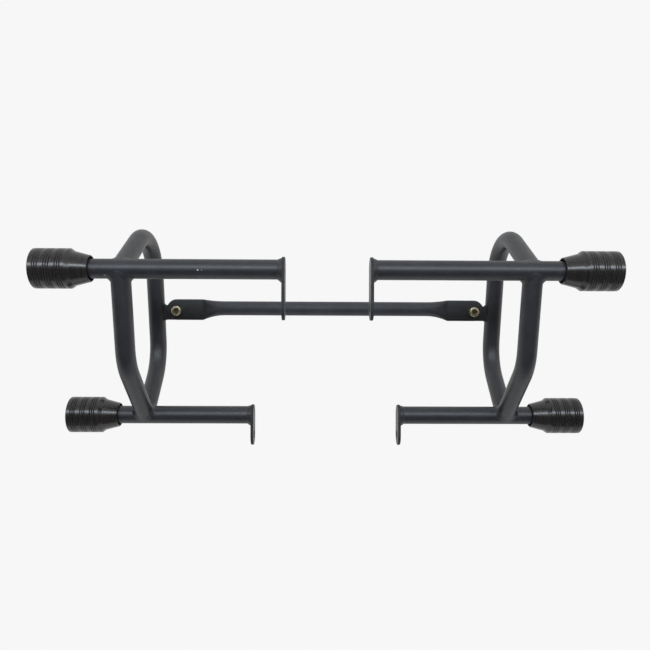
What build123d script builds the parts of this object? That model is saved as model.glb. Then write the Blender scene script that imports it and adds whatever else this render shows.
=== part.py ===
from build123d import *
import os
from math import cos, pi

# Motorcycle crash bars: two welded tube frames with turned sliders, joined by a bolted cross brace.
# Millimetres. +X points to the right-hand frame, +Y from the upper cross tubes to the brace, +Z up.
# The origin lies midway between the two upper bolt holes.

# Tube stock of both frames
tube_od = 22.2
tube_wall = 2.0
bend_radius = 55.0
cope_land = 3.0

# Mount plates, cut from flat bar with round ends
plate_thickness = 3.5
plate_edge_radius = 0.6
mount_hole_d = 10.5
upper_plate_gap = 94.0
upper_plate_margin = 3.0
upper_hole_drop = 42.0
lower_plate_gap = 182.0
lower_plate_margin = 2.2
lower_hole_drop = 24.5

# Fillet welds between the cross tubes and their plates
weld_length = 5.5
weld_edge_gap = 0.2

# Side view of a frame, measured from the upper cross tube's axis
loop_x = 229.0
lower_tube_back = 104.0
lower_tube_drop = 176.0
upright_knee_back = 23.0
upright_knee_drop = 108.0
hoop_crown_back = 132.0
hoop_crown_rise = 77.0
hoop_heel_back = 172.0
hoop_heel_drop = 111.0

# Sliders, turned from bar
slider_d = 44.6
slider_body_length = 39.7
slider_shoulder_length = 4.2
slider_shoulder_depth = 3.0
slider_cone_length = 17.3
slider_stand_off = 32.0
slider_neck_wall = 1.3
slider_neck_chamfer = 0.5
slider_edge_chamfer = 0.8
slider_bore_clearance = 2.5
slider_bore_depth = 10.0
slider_recess_depth = 24.0
groove_groups = 3
grooves_per_group = 3
first_group_inset = 8.4
group_pitch = 12.0
groove_pitch = 2.55
groove_width = 1.6
groove_depth = 0.9

# Slider fastening
slider_screw_d = 10.0
boss_length = 22.0
boss_fit_clearance = 0.05

# Cross brace, a tube with both ends pressed flat
brace_od = 19.0
brace_wall = 1.5
brace_end_clearance = 3.6
brace_screw_drop = 43.0
brace_hole_drop = 1.8
brace_tube_rise = 2.0
brace_flat_length = 35.0
brace_press_length = 29.0
brace_press_steps = 5
brace_seam = 0.2
brace_crease_angle = 9.5

# Lugs and screws that hold the brace
lug_thickness = 5.0
lug_width = 20.0
lug_drop = 2.0
brace_screw_d = 8.0

# Socket screws, nuts and washers: the sizes that they share and their fits
head_margin = 1.0
key_step = 2.0
head_edge_chamfer = 0.7
thread_end_chamfer = 0.9
nut_edge_chamfer = 0.6
nut_corner_trim = 0.97
hole_clearance = 0.5
thread_clearance = 0.05
washer_clearance = 0.5
screw_tip = 2.5

tube_r = tube_od / 2
tube_bore_r = tube_r - tube_wall
upper_z = upper_hole_drop
lower_y = lower_tube_back
lower_z = upper_z - lower_tube_drop


def rod(radius, x_start, x_end, y, z):
    """A solid round bar parallel to X."""
    plane = Plane(origin=(x_start, y, z), x_dir=(0, 1, 0), z_dir=(1, 0, 0))
    return plane * Cylinder(radius, x_end - x_start, align=(Align.CENTER, Align.CENTER, Align.MIN))


def land_point(axis_point, corner):
    """The place short of a cross tube's axis where a coped tube stops, so that it keeps no feather edge."""
    run = corner - axis_point
    return axis_point + run.normalized() * cope_land


def bent_bar(radius, corners):
    """A solid round bar bent through (y, z) corners in the loop's plane, from one cross tube to the other."""
    points = [Vector(loop_x, y, z) for y, z in corners]
    ends = land_point(points[0], points[1]), land_point(points[-1], points[-2])
    route = FilletPolyline(ends[0], *points[1:-1], ends[1], radius=bend_radius)
    start = Plane(origin=route @ 0, x_dir=(1, 0, 0), z_dir=route % 0)
    return sweep(start * Circle(radius), path=route)


def along_y(x, y, z):
    """A plane whose normal points along +Y."""
    return Plane(origin=(x, y, z), x_dir=(1, 0, 0), z_dir=(0, 1, 0))


def head_d(size):
    """The diameter of a screw's head, which is also the width of its nut across flats."""
    return 1.5 * size + head_margin


def head_height(size):
    return size


def washer_d(size):
    return 2.0 * size


def washer_thickness(size):
    return 0.2 * size


def nut_height(size):
    return 0.85 * size


def socket_screw(size, length):
    """A socket head cap screw along -Z, with its seat at the origin."""
    top = (Align.CENTER, Align.CENTER, Align.MAX)
    bottom = (Align.CENTER, Align.CENTER, Align.MIN)
    head = Cylinder(head_d(size) / 2, head_height(size), align=bottom)
    head = chamfer(head.edges().group_by(Axis.Z)[-1], head_edge_chamfer)
    shank = Cylinder(size / 2 - thread_clearance, length, align=top)
    shank = chamfer(shank.edges().group_by(Axis.Z)[0], thread_end_chamfer)
    key_width = size - key_step
    key_depth = head_height(size) / 2
    key = extrude(RegularPolygon(key_width / 2, 6, major_radius=False), key_depth)
    return head + shank - Pos(0, 0, head_height(size) - key_depth) * key


def washer(size):
    """A flat washer standing on the origin."""
    ring = Circle(washer_d(size) / 2) - Circle(size / 2 + hole_clearance / 2)
    return extrude(ring, washer_thickness(size))


def nut(size):
    """A hexagon nut standing on the origin, its corners turned off on both faces."""
    bottom = (Align.CENTER, Align.CENTER, Align.MIN)
    hexagon = extrude(RegularPolygon(head_d(size) / 2, 6, major_radius=False), nut_height(size))
    corner_r = head_d(size) / 2 / cos(pi / 6)
    turned = Cylinder(nut_corner_trim * corner_r, nut_height(size), align=bottom)
    turned = chamfer(turned.edges().filter_by(GeomType.CIRCLE), nut_edge_chamfer)
    bore = Cylinder(size / 2, nut_height(size), align=bottom)
    return (hexagon & turned) - bore


# Slider: seats on the end of a cross tube and is drawn against it by a screw in its recess
slider_length = slider_body_length + slider_shoulder_length + slider_cone_length
slider_r = slider_d / 2
slider_bore_r = tube_r + slider_bore_clearance
slider_neck_x = loop_x + slider_stand_off
slider_reach = slider_neck_x + slider_length
tube_end_x = slider_neck_x + slider_bore_depth
screw_hole_r = (slider_screw_d + hole_clearance) / 2
recess_r = washer_d(slider_screw_d) / 2 + washer_clearance
recess_x = slider_reach - slider_recess_depth


def slider():
    """The slider in place on the X axis."""
    outline = [(tube_end_x, screw_hole_r), (tube_end_x, slider_bore_r), (slider_neck_x, slider_bore_r)]
    neck_r = slider_bore_r + slider_neck_wall
    outline += [(slider_neck_x, neck_r - slider_neck_chamfer), (slider_neck_x + slider_neck_chamfer, neck_r)]
    cone_x = slider_neck_x + slider_cone_length
    outline += [(cone_x, slider_r - slider_shoulder_depth), (cone_x + slider_shoulder_length, slider_r)]
    for group in reversed(range(groove_groups)):
        for groove in reversed(range(grooves_per_group)):
            middle = slider_reach - first_group_inset - group * group_pitch
            middle -= (groove - (grooves_per_group - 1) / 2) * groove_pitch
            outline += [(middle - groove_width / 2, slider_r), (middle, slider_r - groove_depth)]
            outline += [(middle + groove_width / 2, slider_r)]
    outline += [(slider_reach - slider_edge_chamfer, slider_r)]
    outline += [(slider_reach, slider_r - slider_edge_chamfer), (slider_reach, recess_r)]
    outline += [(recess_x, recess_r), (recess_x, screw_hole_r)]
    return revolve(make_face(Polyline(*outline, close=True)), axis=Axis.X)


def boss():
    """The threaded plug welded into the end of a cross tube, on the X axis."""
    plug = rod(tube_bore_r - boss_fit_clearance, tube_end_x - boss_length, tube_end_x, 0, 0)
    return plug - rod(slider_screw_d / 2, tube_end_x - boss_length, tube_end_x, 0, 0)


def mount_plate(inner_x, y, tube_z, margin, drop):
    """A plate across the end of a cross tube, with the bolt hole in its lower round end."""
    width = tube_od + 2 * margin
    face = Plane(origin=(inner_x, y, tube_z), x_dir=(0, 1, 0), z_dir=(1, 0, 0))
    outline = Circle(width / 2) + Pos(0, -drop) * Circle(width / 2)
    outline += Pos(0, -drop / 2) * Rectangle(width, drop)
    plate = extrude(face * outline, plate_thickness)
    rims = plate.edges().group_by(Axis.X)
    plate = fillet(rims[0] + rims[-1], plate_edge_radius)
    hole = extrude(face * Pos(0, -drop) * Circle(mount_hole_d / 2), plate_thickness)
    return plate - hole


def plate_weld(plate_x, y, tube_z, margin):
    """The fillet weld round a cross tube, on the outer face of its plate."""
    face_x = plate_x + plate_thickness
    corner = (face_x, tube_r)
    toe = (face_x + weld_length, tube_r)
    crest = (face_x, tube_r + margin - plate_edge_radius - weld_edge_gap)
    section = Polyline(corner, toe, crest, close=True)
    return Pos(0, y, tube_z) * revolve(make_face(section), axis=Axis.X)


# Cross tubes and their plates
upper_plate_x = upper_plate_gap / 2
lower_plate_x = lower_plate_gap / 2
upper_bar = rod(tube_r, upper_plate_x + plate_thickness, tube_end_x, 0, upper_z)
lower_bar = rod(tube_r, lower_plate_x + plate_thickness, tube_end_x, lower_y, lower_z)
upper_tube = upper_bar - rod(tube_bore_r, upper_plate_x + plate_thickness, tube_end_x, 0, upper_z)
lower_tube = lower_bar - rod(tube_bore_r, lower_plate_x + plate_thickness, tube_end_x, lower_y, lower_z)

# Upright and hoop, coped to the cross tubes; the hoop is also coped round the upright
upright_route = [
    (0, upper_z),
    (upright_knee_back, upper_z - upright_knee_drop),
    (lower_y, lower_z),
]
hoop_route = [
    (0, upper_z),
    (hoop_crown_back, upper_z + hoop_crown_rise),
    (hoop_heel_back, upper_z - hoop_heel_drop),
    (lower_y, lower_z),
]
upright_bar = bent_bar(tube_r, upright_route)
hoop_bar = bent_bar(tube_r, hoop_route)
upright = upright_bar - bent_bar(tube_bore_r, upright_route) - upper_bar - lower_bar
hoop = hoop_bar - bent_bar(tube_bore_r, hoop_route) - upper_bar - lower_bar - upright_bar

# Brace lug, on the inner side of the hoop's rear leg
screw_z = upper_z - brace_screw_drop
leg_slope = (hoop_heel_back - hoop_crown_back) / (hoop_crown_rise + hoop_heel_drop)
lug_y = hoop_crown_back + leg_slope * (hoop_crown_rise + brace_screw_drop)
lug_front_y = lug_y - lug_thickness / 2
lug_back_y = lug_y + lug_thickness / 2
flat_thickness = 2 * brace_wall + brace_seam
flat_half_height = (flat_thickness + pi / 2 * (brace_od - flat_thickness)) / 2
lug_reach = tube_r + brace_end_clearance + flat_half_height
screw_x = loop_x - lug_reach
brace_hole_r = (brace_screw_d + hole_clearance) / 2
lug_outline = Circle(lug_width / 2) + Pos(lug_reach / 2, 0) * Rectangle(lug_reach, lug_width)
lug_outline = Pos(0, lug_drop) * lug_outline - Circle(brace_hole_r)
lug = extrude(along_y(screw_x, lug_front_y, screw_z) * lug_outline, lug_thickness) - hoop_bar

# Cross brace: its round part runs a little above its pressed ends
flat_x = screw_x - brace_flat_length
press_x = flat_x - brace_press_length
brace_y = lug_front_y - flat_thickness / 2
flat_z = screw_z + brace_hole_drop
brace_z = flat_z + brace_tube_rise


def pressed_section(x, z, radius, squash):
    """A tube section at x and z, its sides pressed in by squash and its height grown to keep its girth."""
    half = pi / 4 * squash
    side = radius - squash / 2
    plane = Plane(origin=(x, brace_y, z), x_dir=(0, 1, 0), z_dir=(1, 0, 0))
    if squash == 0:
        crease = brace_crease_angle
        edges = [CenterArc((0, 0), radius, -crease, 2 * crease)]
        edges += [CenterArc((0, 0), radius, crease, 180 - 2 * crease)]
        edges += [CenterArc((0, 0), radius, 180 - crease, 2 * crease)]
        edges += [CenterArc((0, 0), radius, 180 + crease, 180 - 2 * crease)]
    else:
        edges = [Line((side, -half), (side, half)), CenterArc((0, half), side, 0, 180)]
        edges += [Line((-side, half), (-side, -half)), CenterArc((0, -half), side, 180, 180)]
    return plane * make_face(edges)


def pressed_end(radius):
    """The pressed part of the brace's right-hand end, as a solid that eases from round to flat."""
    sections = []
    for step in range(brace_press_steps + 1):
        run = step / brace_press_steps
        pressed = run ** 2
        x = press_x + brace_press_length * run
        z = brace_z - brace_tube_rise * pressed
        sections += [pressed_section(x, z, radius, (brace_od - flat_thickness) * pressed)]
    flat = extrude(sections[-1], brace_flat_length + flat_half_height)
    return loft(sections, ruled=True) + flat


brace_bore_r = brace_od / 2 - brace_wall
brace_bar = rod(brace_od / 2, -press_x, press_x, brace_y, brace_z)
brace_bore = rod(brace_bore_r, -press_x, press_x, brace_y, brace_z)
end_trim = Pos(flat_half_height / 2, 0) * Rectangle(flat_half_height, 2 * flat_half_height)
end_trim -= Circle(flat_half_height)
trim = extrude(along_y(screw_x, brace_y, flat_z) * end_trim, brace_od, both=True)
hole = extrude(along_y(screw_x, brace_y, screw_z) * Circle(brace_hole_r), brace_od, both=True)
right_end = pressed_end(brace_od / 2) - trim - hole
right_bore = pressed_end(brace_bore_r)
brace_solid = brace_bar + right_end + mirror(right_end, about=Plane.YZ)
cross_brace = brace_solid - brace_bore - right_bore - mirror(right_bore, about=Plane.YZ)

# Fasteners
brace_washer_t = washer_thickness(brace_screw_d)
brace_grip = flat_thickness + lug_thickness + brace_washer_t + nut_height(brace_screw_d)
brace_front_y = lug_front_y - flat_thickness
brace_seat = Plane(origin=(screw_x, brace_front_y, screw_z), x_dir=(1, 0, 0), z_dir=(0, -1, 0))
slider_washer_t = washer_thickness(slider_screw_d)
slider_grip = slider_washer_t + recess_x - tube_end_x + boss_length
slider_seat = Plane(origin=(recess_x + slider_washer_t, 0, 0), x_dir=(0, 1, 0), z_dir=(1, 0, 0))
recess_floor = Plane(origin=(recess_x, 0, 0), x_dir=(0, 1, 0), z_dir=(1, 0, 0))

right_side = {
    "upper_cross_tube": upper_tube,
    "lower_cross_tube": lower_tube,
    "upright": upright,
    "hoop": hoop,
    "upper_mount_plate": mount_plate(upper_plate_x, 0, upper_z, upper_plate_margin, upper_hole_drop),
    "lower_mount_plate": mount_plate(lower_plate_x, lower_y, lower_z, lower_plate_margin, lower_hole_drop),
    "upper_plate_weld": plate_weld(upper_plate_x, 0, upper_z, upper_plate_margin),
    "lower_plate_weld": plate_weld(lower_plate_x, lower_y, lower_z, lower_plate_margin),
    "brace_lug": lug,
    "brace_screw": brace_seat * socket_screw(brace_screw_d, brace_grip + screw_tip),
    "brace_washer": along_y(screw_x, lug_back_y, screw_z) * washer(brace_screw_d),
    "brace_nut": along_y(screw_x, lug_back_y + brace_washer_t, screw_z) * nut(brace_screw_d),
}
for level, y, z in (("upper", 0, upper_z), ("lower", lower_y, lower_z)):
    place = Pos(0, y, z)
    right_side[level + "_slider"] = place * slider()
    right_side[level + "_slider_boss"] = place * boss()
    right_side[level + "_slider_washer"] = place * (recess_floor * washer(slider_screw_d))
    right_side[level + "_slider_screw"] = place * (slider_seat * socket_screw(slider_screw_d, slider_grip))

os.makedirs("parts", exist_ok=True)
export_step(cross_brace, "parts/cross_brace.step")
for name, solid in right_side.items():
    export_step(solid, "parts/right_" + name + ".step")
    export_step(mirror(solid, about=Plane.YZ), "parts/left_" + name + ".step")
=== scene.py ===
from math import cos, pi, radians, sin, sqrt

import bmesh
import bpy
from mathutils import Matrix, Vector


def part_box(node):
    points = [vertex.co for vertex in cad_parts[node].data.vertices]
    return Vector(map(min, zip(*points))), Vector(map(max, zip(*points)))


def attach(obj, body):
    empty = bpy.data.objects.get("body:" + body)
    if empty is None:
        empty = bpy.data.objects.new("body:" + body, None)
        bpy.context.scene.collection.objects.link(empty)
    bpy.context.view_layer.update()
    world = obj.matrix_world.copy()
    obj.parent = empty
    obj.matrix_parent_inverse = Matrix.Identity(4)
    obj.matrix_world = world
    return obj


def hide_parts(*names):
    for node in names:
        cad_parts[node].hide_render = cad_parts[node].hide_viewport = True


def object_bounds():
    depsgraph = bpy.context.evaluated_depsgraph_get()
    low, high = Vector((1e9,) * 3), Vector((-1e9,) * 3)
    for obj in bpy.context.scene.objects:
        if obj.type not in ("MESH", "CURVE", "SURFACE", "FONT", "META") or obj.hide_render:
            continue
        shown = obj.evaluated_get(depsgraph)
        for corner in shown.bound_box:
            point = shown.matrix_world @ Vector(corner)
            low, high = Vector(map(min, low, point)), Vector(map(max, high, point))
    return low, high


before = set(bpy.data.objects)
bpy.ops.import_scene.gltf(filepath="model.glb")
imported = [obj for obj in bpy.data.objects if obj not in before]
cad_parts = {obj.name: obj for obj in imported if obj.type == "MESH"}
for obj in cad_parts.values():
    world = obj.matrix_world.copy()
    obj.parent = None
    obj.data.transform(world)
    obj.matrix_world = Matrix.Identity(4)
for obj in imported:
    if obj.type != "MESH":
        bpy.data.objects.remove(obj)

bl_info = {
    "name": "Crash bars",
    "version": (1, 0, 0),
    "blender": (4, 5, 0),
    "location": "View3D > Sidebar > Crash bars",
    "description": "Finishes, weld beads, screws and studio for a pair of motorcycle crash bars",
    "category": "Object",
}

# The CAD box, kept from before anything is added
CAD_LOW, CAD_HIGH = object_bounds()
X_AXIS = Vector((1, 0, 0))
SIDES = {"right": 1, "left": -1}
LEVELS = ("upper", "lower")


def middle_of(node):
    """The middle of a CAD node's box."""
    low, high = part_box(node)
    return (low + high) / 2


def half_of(node):
    """Half the size of a CAD node's box."""
    low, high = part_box(node)
    return (high - low) / 2


# Places and sizes of the tubes, from the frame
TUBE_R = half_of("right_upper_cross_tube").z
LOOP_X = middle_of("right_upright").x
TUBE_AXIS = {level: middle_of(f"right_{level}_cross_tube") for level in LEVELS}
JOINT = {level: Vector((LOOP_X, axis.y, axis.z)) for level, axis in TUBE_AXIS.items()}


class CrashBarSizes(bpy.types.PropertyGroup):
    """Shapes of the welds and screws."""

    upright_knee: bpy.props.FloatVectorProperty(
        name="Upright knee", description="Corner of the upright's bend, as Y and Z",
        size=2, default=(0.023, -0.066), unit="LENGTH")
    hoop_crown: bpy.props.FloatVectorProperty(
        name="Hoop crown", description="Corner of the hoop's upper bend, as Y and Z",
        size=2, default=(0.132, 0.119), unit="LENGTH")
    hoop_heel: bpy.props.FloatVectorProperty(
        name="Hoop heel", description="Corner of the hoop's lower bend, as Y and Z",
        size=2, default=(0.172, -0.069), unit="LENGTH")
    joint_leg: bpy.props.FloatProperty(
        name="Joint weld leg", description="Reach of a weld along the tubes that it joins",
        default=0.0042, unit="LENGTH")
    plate_swell: bpy.props.FloatProperty(
        name="Plate weld swell", description="Extra reach of a plate's weld below its tube",
        default=0.0022, unit="LENGTH")
    lug_leg: bpy.props.FloatProperty(
        name="Lug weld leg", description="Reach of the weld round a brace lug",
        default=0.0030, unit="LENGTH")
    bead_crown: bpy.props.FloatProperty(
        name="Bead crown", description="Height of a bead where the two faces run level",
        default=0.0005, unit="LENGTH")
    bead_fullness: bpy.props.FloatProperty(
        name="Bead fullness", description="Shape of a bead, from hollow at 0 to flat at 1",
        default=0.35, subtype="FACTOR")
    plate_fullness: bpy.props.FloatProperty(
        name="Plate bead fullness", description="Shape of a plate's bead, from hollow at 0 to flat at 1",
        default=0.8, subtype="FACTOR")
    ripple_pitch: bpy.props.FloatProperty(
        name="Ripple pitch", description="Distance between the ripples of a bead",
        default=0.0024, unit="LENGTH")
    ripple_height: bpy.props.FloatProperty(
        name="Ripple height", description="Height of a ripple under the coat",
        default=0.00010, unit="LENGTH")
    knurl_ridges: bpy.props.IntProperty(
        name="Knurl ridges", description="Ridges round a screw's head", default=44)
    knurl_depth: bpy.props.FloatProperty(
        name="Knurl depth", description="Depth of the knurl on a screw's head",
        default=0.00016, unit="LENGTH")
    thread_share: bpy.props.FloatProperty(
        name="Thread depth share", description="Thread depth as a share of its pitch",
        default=0.5, subtype="FACTOR")


class CrashBarFinishes(bpy.types.PropertyGroup):
    """Colours and gloss of the finishes."""

    coat_colour: bpy.props.FloatVectorProperty(
        name="Coat colour", description="Colour of the satin powder coat",
        default=(0.0104, 0.0117, 0.0152), subtype="COLOR")
    coat_roughness: bpy.props.FloatProperty(
        name="Coat roughness", description="Roughness of the satin powder coat",
        default=0.44, subtype="FACTOR")
    coat_shine: bpy.props.FloatProperty(
        name="Coat shine", description="Specular level of the satin powder coat",
        default=0.6, subtype="FACTOR")
    # Lighter than the frames' coat: painted light, standing in for the light bounced onto the brace
    brace_lit_colour: bpy.props.FloatVectorProperty(
        name="Brace colour", description="Colour of the brace's duller coat",
        default=(0.0208, 0.0236, 0.0298), subtype="COLOR")
    brace_roughness: bpy.props.FloatProperty(
        name="Brace roughness", description="Roughness of the brace's duller coat",
        default=0.58, subtype="FACTOR")
    # Darker than the brace's round part: painted shade, standing in for the dark that the flat ends'
    # front faces show
    pressed_shade_colour: bpy.props.FloatVectorProperty(
        name="Pressed colour", description="Colour of the coat on the brace's flat ends",
        default=(0.0070, 0.0079, 0.0097), subtype="COLOR")
    pressed_roughness: bpy.props.FloatProperty(
        name="Pressed roughness", description="Roughness of the brace's flat ends",
        default=0.42, subtype="FACTOR")
    # The rims are darker than the plates' faces
    rim_colour: bpy.props.FloatVectorProperty(
        name="Rim colour", description="Colour of the thin coat on the plates' sheared rims",
        default=(0.0070, 0.0076, 0.0092), subtype="COLOR")
    rim_roughness: bpy.props.FloatProperty(
        name="Rim roughness", description="Roughness of the plates' sheared rims",
        default=0.72, subtype="FACTOR")
    chip_colour: bpy.props.FloatVectorProperty(
        name="Chip colour", description="Colour under the coat where it is chipped",
        default=(0.46, 0.44, 0.41), subtype="COLOR")
    slider_colour: bpy.props.FloatVectorProperty(
        name="Slider colour", description="Colour of the black anodised sliders",
        default=(0.0070, 0.0064, 0.0062), subtype="COLOR")
    slider_tint: bpy.props.FloatVectorProperty(
        name="Slider tint", description="Brown tint in the anodised finish",
        default=(0.0134, 0.0108, 0.0096), subtype="COLOR")
    slider_roughness: bpy.props.FloatProperty(
        name="Slider roughness", description="Roughness of the turned sliders",
        default=0.235, subtype="FACTOR")
    slider_shine: bpy.props.FloatProperty(
        name="Slider shine", description="Specular level of the anodised sliders",
        default=0.58, subtype="FACTOR")
    # Paler than the slider: painted light, standing in for the light the grooves show; their higher
    # roughness is the finish's own
    groove_lit_colour: bpy.props.FloatVectorProperty(
        name="Groove colour", description="Greyer colour in the sliders' grooves",
        default=(0.0170, 0.0150, 0.0138), subtype="COLOR")
    groove_roughness: bpy.props.FloatProperty(
        name="Groove roughness", description="Roughness of the sliders' grooves",
        default=0.42, subtype="FACTOR")
    zinc_colour: bpy.props.FloatVectorProperty(
        name="Zinc colour", description="Pale yellow of the zinc plate",
        default=(0.86, 0.82, 0.64), subtype="COLOR")
    zinc_tint: bpy.props.FloatVectorProperty(
        name="Zinc tint", description="Deeper olive in the zinc plate",
        default=(0.56, 0.48, 0.28), subtype="COLOR")
    zinc_roughness: bpy.props.FloatProperty(
        name="Zinc roughness", description="Roughness of the zinc plate",
        default=0.28, subtype="FACTOR")
    # The socket's dull olive is painted shade, standing in for the dark in its recess
    socket_shade_colour: bpy.props.FloatVectorProperty(
        name="Socket colour", description="Dull olive in the oiled socket of a screw",
        default=(0.105, 0.085, 0.030), subtype="COLOR")
    steel_colour: bpy.props.FloatVectorProperty(
        name="Steel colour", description="Colour of bare turned steel",
        default=(0.42, 0.42, 0.43), subtype="COLOR")


class CrashBarStudio(bpy.types.PropertyGroup):
    """Camera, light and backdrop."""

    camera_distance: bpy.props.FloatProperty(
        name="Camera distance", description="From the upper cross tubes to the camera",
        default=0.687, unit="LENGTH")
    camera_height: bpy.props.FloatProperty(
        name="Camera height", description="Height of the camera in the model",
        default=-0.0184, unit="LENGTH")
    camera_side: bpy.props.FloatProperty(
        name="Camera side", description="From the model's middle to the camera, along X",
        default=-0.0113, unit="LENGTH")
    camera_turn: bpy.props.FloatProperty(
        name="Camera turn", description="Turn of the camera to its left",
        default=radians(-0.72), subtype="ANGLE")
    camera_tilt: bpy.props.FloatProperty(
        name="Camera tilt", description="Tilt of the camera upwards",
        default=radians(-0.06), subtype="ANGLE")
    camera_roll: bpy.props.FloatProperty(
        name="Camera roll", description="Roll of the camera, against the clock",
        default=radians(0.24), subtype="ANGLE")
    focal_share: bpy.props.FloatProperty(
        name="Focal share", description="Focal length as a share of the image's width",
        default=620 / 650)
    backdrop_white: bpy.props.FloatProperty(
        name="Backdrop white", description="Brightness of the backdrop and the floor",
        default=0.93, subtype="FACTOR")
    floor_white: bpy.props.FloatProperty(
        name="Floor white", description="Colour of the floor where the model's shadow falls",
        default=0.85, subtype="FACTOR")
    ambient: bpy.props.FloatProperty(
        name="Ambient light", description="Brightness of the room's light",
        default=0.85, subtype="FACTOR")
    floor_drop: bpy.props.FloatProperty(
        name="Floor drop", description="From the model's lowest point down to the floor",
        default=0.62, unit="LENGTH")
    strip_power: bpy.props.FloatProperty(
        name="Strip light power", description="Power of the strip light in front",
        default=9.5, unit="POWER")
    strip_colour: bpy.props.FloatVectorProperty(
        name="Strip light colour", description="Colour of the strip light",
        default=(0.82, 0.90, 1.0), subtype="COLOR")


# Shader nodes


def place(tree, kind, inputs=None, **settings):
    """Adds a node. Each input is a plain value or the output of another node."""
    node = tree.nodes.new(kind)
    for key, value in settings.items():
        setattr(node, key, value)
    for key, value in (inputs or {}).items():
        if isinstance(value, bpy.types.NodeSocket):
            tree.links.new(value, node.inputs[key])
        else:
            node.inputs[key].default_value = value
    return node


def maths(tree, operation, *values):
    """The result of a sum on numbers."""
    node = place(tree, "ShaderNodeMath", dict(enumerate(values)), operation=operation)
    return node.outputs[0]


def vector_maths(tree, operation, *values):
    """The result of a sum on vectors, which is a number for a length and a distance."""
    node = place(tree, "ShaderNodeVectorMath", dict(enumerate(values)), operation=operation)
    return node.outputs["Value" if operation in ("LENGTH", "DISTANCE") else "Vector"]


def span(tree, value, start, end, low=0.0, high=1.0):
    """A value that goes from low to high, and no further, while another goes from start to end."""
    node = place(tree, "ShaderNodeMapRange", {
        "Value": value, "From Min": start, "From Max": end, "To Min": low, "To Max": high})
    return node.outputs["Result"]


def noise(tree, vector, scale, detail, roughness=0.5):
    """A noise value with grains at this scale."""
    node = place(tree, "ShaderNodeTexNoise", {
        "Vector": vector, "Scale": scale, "Detail": detail, "Roughness": roughness})
    return node.outputs["Fac"]


# Numbers of the sockets of a node that mixes colours
MIX_FACTOR = 0
MIX_FIRST = 6
MIX_SECOND = 7
MIX_RESULT = 2


def blend_colours(tree, factor, first, second):
    """A colour between two others."""
    inputs = {MIX_FACTOR: factor, MIX_FIRST: first, MIX_SECOND: second}
    node = place(tree, "ShaderNodeMix", inputs, data_type="RGBA")
    return node.outputs[MIX_RESULT]


def opaque(colour, share=1.0):
    """A share of a colour, with full opacity, as the sockets take it."""
    return (*(share * part for part in colour), 1.0)


def model_coordinates(tree):
    """Places in the model, in metres."""
    return place(tree, "ShaderNodeTexCoord").outputs["Object"]


def along_x(tree, vector):
    """How far a vector reaches along X, on either side."""
    parts = place(tree, "ShaderNodeSeparateXYZ", {"Vector": vector})
    return maths(tree, "ABSOLUTE", parts.outputs["X"])


def new_group(name, inputs, outputs):
    """A shader node group with named sockets, and its first and last nodes."""
    tree = bpy.data.node_groups.new(name, "ShaderNodeTree")
    for label, kind, value in inputs:
        socket = tree.interface.new_socket(name=label, in_out="INPUT", socket_type=kind)
        if value is not None:
            socket.default_value = value
    for label, kind in outputs:
        tree.interface.new_socket(name=label, in_out="OUTPUT", socket_type=kind)
    return tree, tree.nodes.new("NodeGroupInput"), tree.nodes.new("NodeGroupOutput")


# The middle part of a noise, which a cloudy value is spread over
CLOUD_SPREAD = (0.32, 0.68)


def cloudy_group():
    """A soft cloudy value between Low and High, for shifts of tone and gloss."""
    if "Cloudy value" in bpy.data.node_groups:
        return bpy.data.node_groups["Cloudy value"]
    tree, start, end = new_group(
        "Cloudy value",
        [("Vector", "NodeSocketVector", None), ("Scale", "NodeSocketFloat", 100.0),
         ("Low", "NodeSocketFloat", 0.0), ("High", "NodeSocketFloat", 1.0)],
        [("Value", "NodeSocketFloat")])
    cloud = noise(tree, start.outputs["Vector"], start.outputs["Scale"], detail=3.0, roughness=0.55)
    value = span(tree, cloud, *CLOUD_SPREAD, start.outputs["Low"], start.outputs["High"])
    tree.links.new(value, end.inputs["Value"])
    return tree


# How much coarser the wide streaks of a turned face are than its fine rings, as a share of scale
STREAK_SCALE = 0.13


def turned_group():
    """Fine rings round the X axis, as a lathe tool leaves them, and wide streaks among them."""
    if "Turned rings" in bpy.data.node_groups:
        return bpy.data.node_groups["Turned rings"]
    tree, start, end = new_group(
        "Turned rings",
        [("Vector", "NodeSocketVector", None), ("Rings", "NodeSocketFloat", 2500.0),
         ("Drift", "NodeSocketFloat", 14.0)],
        [("Height", "NodeSocketFloat"), ("Streak", "NodeSocketFloat")])
    drift = start.outputs["Drift"]
    scale = place(tree, "ShaderNodeCombineXYZ", {"X": start.outputs["Rings"], "Y": drift, "Z": drift})
    stretched = vector_maths(tree, "MULTIPLY", start.outputs["Vector"], scale.outputs["Vector"])
    fine = noise(tree, stretched, 1.0, detail=2.0, roughness=0.6)
    wide = noise(tree, stretched, STREAK_SCALE, detail=2.0)
    tree.links.new(fine, end.inputs["Height"])
    tree.links.new(wide, end.inputs["Streak"])
    return tree


# How high the grain of a powder coat stands, as a share of its orange peel
GRAIN_SHARE = 0.35


def powder_group():
    """The faint orange peel of a baked powder, with a fine grain on it."""
    if "Powder peel" in bpy.data.node_groups:
        return bpy.data.node_groups["Powder peel"]
    tree, start, end = new_group(
        "Powder peel",
        [("Vector", "NodeSocketVector", None), ("Peel", "NodeSocketFloat", 500.0),
         ("Grain", "NodeSocketFloat", 2500.0)],
        [("Height", "NodeSocketFloat")])
    peel = noise(tree, start.outputs["Vector"], start.outputs["Peel"], detail=2.0)
    grain = noise(tree, start.outputs["Vector"], start.outputs["Grain"], detail=1.0)
    tree.links.new(maths(tree, "MULTIPLY_ADD", grain, GRAIN_SHARE, peel), end.inputs["Height"])
    return tree


def use_group(tree, group, inputs):
    """Places a node group with its own values."""
    return place(tree, "ShaderNodeGroup", inputs, node_tree=group)


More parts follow.
